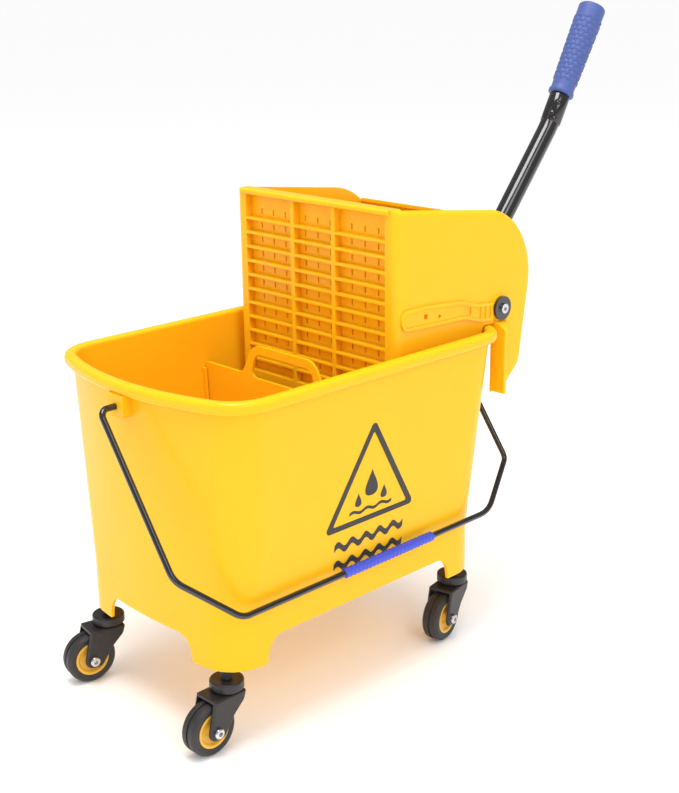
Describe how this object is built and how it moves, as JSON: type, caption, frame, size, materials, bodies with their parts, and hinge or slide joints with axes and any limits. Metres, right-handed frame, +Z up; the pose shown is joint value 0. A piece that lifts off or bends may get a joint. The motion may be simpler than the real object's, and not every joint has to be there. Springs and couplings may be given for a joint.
{
  "type": "wheeled mop bucket with side-press wringer",
  "caption": "Oblong mop bucket on swivel casters with a lift-off side-press wringer worked by a long gripped lever, a lift-out divider and a wire bail.",
  "frame": {"origin": "on the floor, midway between the caster stems, on the plane of symmetry of the bucket", "axes": "+X from the pouring end to the wringer end, +Z up, +Y across the bucket; the bail hangs on the -Y side"},
  "size_m": [0.6286, 0.27, 0.638],
  "materials": {
    "bucket": "satin moulded",
    "divider": "satin moulded",
    "wringer": "satin moulded",
    "wringer_plate": "satin moulded",
    "bush": "matte",
    "black_steel": "satin black",
    "bright_steel": "zinc plated",
    "stem_steel": "blackened",
    "caster_black": "satin black",
    "tyre_black": "matte",
    "hub_yellow": "satin",
    "blue_grip": "soft matte",
    "bail_blue": "soft",
    "bail_steel": "plated wire"
  },
  "bodies": {
    "bucket": {"bucket_shell": "bucket", "stem_front_near": "stem_steel", "cap_front_near": "caster_black", "stem_front_far": "stem_steel", "cap_front_far": "caster_black", "stem_rear_near": "stem_steel", "cap_rear_near": "caster_black", "stem_rear_far": "stem_steel", "cap_rear_far": "caster_black"},
    "divider": {"divider": "divider"},
    "wringer": {"wringer_body": "wringer", "shaft_bushes": "bush"},
    "press_plate": {"press_plate": "wringer_plate"},
    "lever": {"cross_shaft": "black_steel", "shaft_washers": "black_steel", "shaft_bolts": "bright_steel", "crank_near": "black_steel", "crank_far": "black_steel", "lever_bracket": "black_steel", "lever_tube": "black_steel", "lever_bolts": "bright_steel", "lever_grip": "blue_grip"},
    "bail": {"bail_wire": "bail_steel", "bail_grip": "bail_blue"},
    "fork_front_near": {"race_front_near": "bright_steel", "fork_front_near": "caster_black", "axle_bolt_front_near": "bright_steel"},
    "wheel_front_near": {"tyre_front_near": "tyre_black", "hub_front_near": "hub_yellow"},
    "fork_front_far": {"race_front_far": "bright_steel", "fork_front_far": "caster_black", "axle_bolt_front_far": "bright_steel"},
    "wheel_front_far": {"tyre_front_far": "tyre_black", "hub_front_far": "hub_yellow"},
    "fork_rear_near": {"race_rear_near": "bright_steel", "fork_rear_near": "caster_black", "axle_bolt_rear_near": "bright_steel"},
    "wheel_rear_near": {"tyre_rear_near": "tyre_black", "hub_rear_near": "hub_yellow"},
    "fork_rear_far": {"race_rear_far": "bright_steel", "fork_rear_far": "caster_black", "axle_bolt_rear_far": "bright_steel"},
    "wheel_rear_far": {"tyre_rear_far": "tyre_black", "hub_rear_far": "hub_yellow"}
  },
  "joints": [
    {"name": "divider_lift", "type": "slide", "parent": "bucket", "child": "divider", "axis": [0, 0, 1], "range_m": [0, 0.2]},
    {"name": "wringer_lift", "type": "slide", "parent": "bucket", "child": "wringer", "axis": [0, 0, 1], "range_m": [0, 0.12]},
    {"name": "lever_swing", "type": "hinge", "parent": "wringer", "child": "lever", "pos_m": [0.198, 0, 0.348], "axis": [0, -1, 0], "range_deg": [0, 75]},
    {"name": "plate_slide", "type": "slide", "parent": "wringer", "child": "press_plate", "axis": [-1, 0, 0], "range_m": [0, 0.0488]},
    {"name": "bail_swing", "type": "hinge", "parent": "bucket", "child": "bail", "pos_m": [0, 0, 0.311], "axis": [-1, 0, 0], "range_deg": [0, 28]},
    {"name": "swivel_front_near", "type": "hinge", "parent": "bucket", "child": "fork_front_near", "pos_m": [-0.1545, -0.0915, 0.06], "axis": [0, 0, 1], "continuous": true},
    {"name": "wheel_front_near_spin", "type": "hinge", "parent": "fork_front_near", "child": "wheel_front_near", "pos_m": [-0.1775, -0.0915, 0.025], "axis": [0, 1, 0], "continuous": true},
    {"name": "swivel_front_far", "type": "hinge", "parent": "bucket", "child": "fork_front_far", "pos_m": [-0.1545, 0.0915, 0.06], "axis": [0, 0, 1], "continuous": true},
    {"name": "wheel_front_far_spin", "type": "hinge", "parent": "fork_front_far", "child": "wheel_front_far", "pos_m": [-0.17704, 0.09609, 0.025], "axis": [0.1994, 0.9799, 0], "continuous": true},
    {"name": "swivel_rear_near", "type": "hinge", "parent": "bucket", "child": "fork_rear_near", "pos_m": [0.1545, -0.0915, 0.06], "axis": [0, 0, 1], "continuous": true},
    {"name": "wheel_rear_near_spin", "type": "hinge", "parent": "fork_rear_near", "child": "wheel_rear_near", "pos_m": [0.13196, -0.09609, 0.025], "axis": [-0.1994, 0.9799, 0], "continuous": true},
    {"name": "swivel_rear_far", "type": "hinge", "parent": "bucket", "child": "fork_rear_far", "pos_m": [0.1545, 0.0915, 0.06], "axis": [0, 0, 1], "continuous": true},
    {"name": "wheel_rear_far_spin", "type": "hinge", "parent": "fork_rear_far", "child": "wheel_rear_far", "pos_m": [0.13161, 0.09378, 0.025], "axis": [0.0993, 0.9951, 0], "continuous": true}
  ],
  "couplings": [
    {"joint": "plate_slide", "follows": "lever_swing", "m_per_rad": 0.0372}
  ]
}
